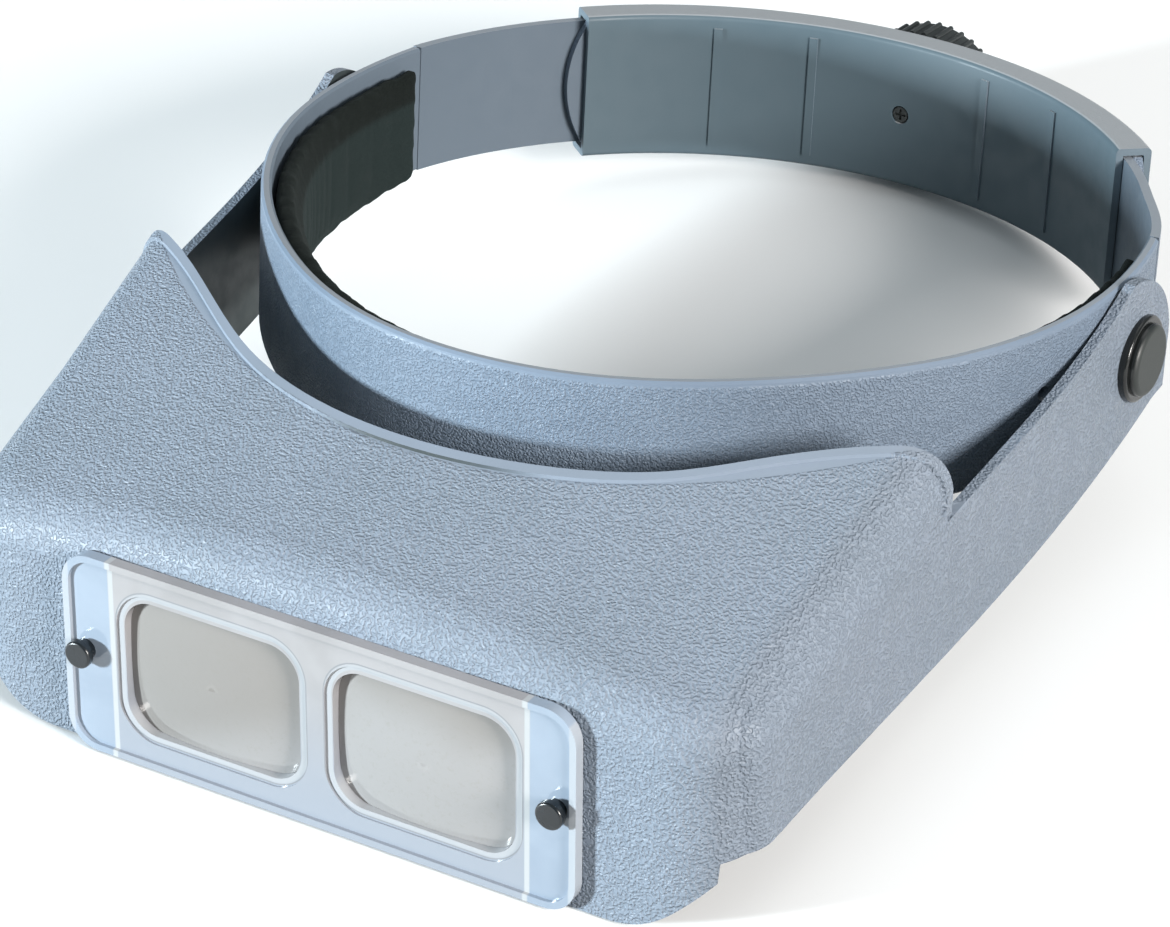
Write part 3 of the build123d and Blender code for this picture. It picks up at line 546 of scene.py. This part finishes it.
def make_materials():
    """Every material of the object, by the names that NODE_LOOKS uses, and the pad's velour."""
    return {
        "visor": visor_plastic(),
        "band": band_plastic(),
        "sleeve": sleeve_plastic(),
        "plate": clear_plate(),
        "lens": lens_glass(),
        "stud": plain("stud_black", (0.002, 0.004, 0.006), 0.22, flow=400.0, depth=0.01 * MM, coat=0.25),
        "cap": cap_plastic(),
        "knob": plain("knob_plastic", (0.018, 0.022, 0.023), 0.45, flow=900.0, depth=0.04 * MM, coat=0.15),
        "white": plain("natural_plastic", (0.62, 0.63, 0.62), 0.4, flow=700.0, depth=0.02 * MM, coat=0.3),
        "steel": steel(),
        "black_steel": plain("black_steel", (0.02, 0.024, 0.024), 0.4, flow=900.0, depth=0.02 * MM,
                             coat=0.1),
        "hook": hook_tape(),
        "velour": velour(),
    }


def paint(name, material):
    """Gives every slot of a CAD node one material."""
    data = NODES[name].data
    if not data.materials:
        data.materials.append(material)
    for index in range(len(data.materials)):
        data.materials[index] = material


def pad_edge(place):
    """How far a place lies inside the pad's outline."""
    back = (place - BAND_ORIGIN).dot(BAND_BACK)
    up = (place - BAND_ORIGIN).dot(BAND_UP)
    part = min(max((back - PAD_RISE_BACK) / (PAD_END_BACK - PAD_RISE_BACK), 0.0), 1.0)
    top = PAD_TOP + (PAD_END_TOP - PAD_TOP) * part
    bottom = PAD_BOTTOM + (PAD_END_BOTTOM - PAD_BOTTOM) * part
    return max(min(top - up, up - bottom, PAD_END_BACK - back), 0.0)


def tree_of(name):
    """Search tree over a CAD node's surface."""
    data = NODES[name].data
    corners = [point.co for point in data.vertices]
    return BVHTree.FromPolygons(corners, [face.vertices for face in data.polygons])


def apply_modifiers(piece):
    """Replaces a piece's mesh by what its modifiers make of it."""
    graph = bpy.context.evaluated_depsgraph_get()
    data = bpy.data.meshes.new_from_object(piece.evaluated_get(graph))
    piece.modifiers.clear()
    piece.data = data


def puff(pad, standoffs):
    """Fills the pad under pressure, its back held where it lies close to the headband."""
    starts = [point.co.copy() for point in pad.data.vertices]
    back = [index for index, standoff in enumerate(standoffs) if standoff < PAD_STANDOFF + PAD_VOXEL]
    held = pad.vertex_groups.new(name="held")
    held.add(back, 1.0, "REPLACE")
    cloth = pad.modifiers.new("cloth", "CLOTH")
    cloth.settings.use_pressure = True
    cloth.settings.uniform_pressure_force = PAD_PRESSURE
    cloth.settings.effector_weights.gravity = 0.0
    cloth.settings.vertex_group_mass = held.name
    cloth.point_cache.frame_start = 1
    cloth.point_cache.frame_end = PAD_FRAMES
    scene = bpy.context.scene
    for count in range(1, PAD_FRAMES + 1):
        scene.frame_set(count)
    apply_modifiers(pad)
    scene.frame_set(1)
    for point, start in zip(pad.data.vertices, starts):
        move = point.co - start
        if move.length > PAD_CAP:
            point.co = start + move.normalized() * PAD_CAP


def press_border(pad, feet):
    """Presses the pad down towards its outline and frays the outline a little."""
    for point, foot in zip(pad.data.vertices, feet):
        edge = min(pad_edge(point.co) / PAD_BORDER, 1.0)
        crown = PAD_PRESSED + (1 - PAD_PRESSED) * edge * edge * (3 - 2 * edge)
        out = point.co - foot
        depth = out.length
        if depth > PAD_STANDOFF:
            point.co = foot + out * ((PAD_STANDOFF + (depth - PAD_STANDOFF) * crown) / depth)
        if edge < PAD_FRAY_PART:
            coarse = noise.noise(point.co * PAD_FRAY_COARSE)
            fine = noise.noise(point.co * PAD_FRAY_FINE)
            point.co += BAND_UP * ((coarse + PAD_FRAY_FINE_SHARE * fine) * PAD_FRAY)


def make_pad():
    """Velour pad: the CAD pad's form, filled under pressure, pressed down along its border."""
    pad = bpy.data.objects.new("brow_pad_velour", NODES["brow_pad"].data.copy())
    bpy.context.scene.collection.objects.link(pad)
    remesh = pad.modifiers.new("remesh", "REMESH")
    remesh.mode = "VOXEL"
    remesh.voxel_size = PAD_VOXEL
    smooth = pad.modifiers.new("smooth", "SMOOTH")
    smooth.iterations = PAD_SMOOTHING
    apply_modifiers(pad)
    band = tree_of("band_front")
    feet = [band.find_nearest(point.co)[0] for point in pad.data.vertices]
    puff(pad, [(point.co - foot).length for point, foot in zip(pad.data.vertices, feet)])
    press_border(pad, feet)
    divide = pad.modifiers.new("divide", "SUBSURF")
    divide.levels = 1
    divide.render_levels = 1
    apply_modifiers(pad)
    return pad


def finish_pad(pad, material):
    """Material and smoothing of the pad, its attachment to the band, and the CAD pad hidden."""
    pad.data.materials.clear()
    pad.data.materials.append(material)
    for face in pad.data.polygons:
        face.use_smooth = True
    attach(pad, "band")
    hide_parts("brow_pad")


def make_floor():
    """White floor, hidden from diffuse rays so that it throws no soft light up at the object."""
    bpy.ops.mesh.primitive_plane_add(size=FLOOR_SIZE)
    floor = bpy.context.object
    floor.name = "floor"
    floor.visible_diffuse = False
    floor.data.materials.append(Shader("floor_white", (0.93, 0.93, 0.93), 0.9).material)


def make_area(name, azimuth, elevation, size, power, color):
    """One area light, placed by its direction from the object in degrees; azimuth 0 is the front."""
    turn = math.radians(azimuth)
    rise = math.radians(elevation)
    out = Vector((math.sin(turn) * math.cos(rise), -math.cos(turn) * math.cos(rise), math.sin(rise)))
    data = bpy.data.lights.new(name, "AREA")
    data.size = size
    data.energy = power
    data.color = color
    lamp = bpy.data.objects.new(name, data)
    lamp.location = LIGHT_AIM + out * LIGHT_DISTANCE
    lamp.rotation_euler = (-out).to_track_quat("-Z", "Y").to_euler()
    bpy.context.scene.collection.objects.link(lamp)


def make_lights():
    """A low cool key from the front left, a warmer side light, and a weak one from above and behind."""
    make_area("key", azimuth=-44.0, elevation=10.0, size=0.2, power=100.0, color=(0.84, 0.95, 1.0))
    make_area("side", azimuth=74.0, elevation=23.0, size=0.7, power=72.0, color=(1.0, 0.965, 0.93))
    make_area("top", azimuth=165.0, elevation=62.0, size=1.6, power=7.0, color=(1.0, 0.99, 0.97))


def make_world():
    """Surroundings that brighten from below upwards."""
    world = bpy.data.worlds.new("studio")
    world.use_nodes = True
    tree = world.node_tree
    coordinates = tree.nodes.new("ShaderNodeTexCoord")
    split = tree.nodes.new("ShaderNodeSeparateXYZ")
    shade = tree.nodes.new("ShaderNodeValToRGB")
    link(tree, coordinates.outputs["Generated"], split.inputs[0])
    link(tree, split.outputs["Z"], shade.inputs["Fac"])
    link(tree, shade.outputs["Color"], tree.nodes["Background"].inputs["Color"])
    below, above = shade.color_ramp.elements
    below.color = WORLD_BELOW
    above.color = WORLD_ABOVE
    above.position = WORLD_FULL_AT
    bpy.context.scene.world = world
    bpy.context.scene.view_settings.view_transform = "Standard"


def make_camera():
    """Camera at the reference view's angle."""
    data = bpy.data.cameras.new("camera")
    data.lens = CAMERA_LENS
    data.shift_x, data.shift_y = CAMERA_SHIFT
    data.clip_start = CAMERA_NEAR
    camera = bpy.data.objects.new("camera", data)
    look = (Vector(CAMERA_AIM) - Vector(CAMERA_PLACE)).to_track_quat("-Z", "Y").to_matrix()
    roll = Matrix.Rotation(math.radians(CAMERA_ROLL), 3, "Z")
    camera.matrix_world = Matrix.Translation(CAMERA_PLACE) @ (look @ roll).to_4x4()
    bpy.context.scene.collection.objects.link(camera)
    bpy.context.scene.camera = camera


make_camera()
make_floor()
make_lights()
make_world()
MATERIALS = make_materials()
for look_name, node_names in NODE_LOOKS.items():
    for node_name in node_names:
        paint(node_name, MATERIALS[look_name])
PAD = make_pad()
finish_pad(PAD, MATERIALS["velour"])
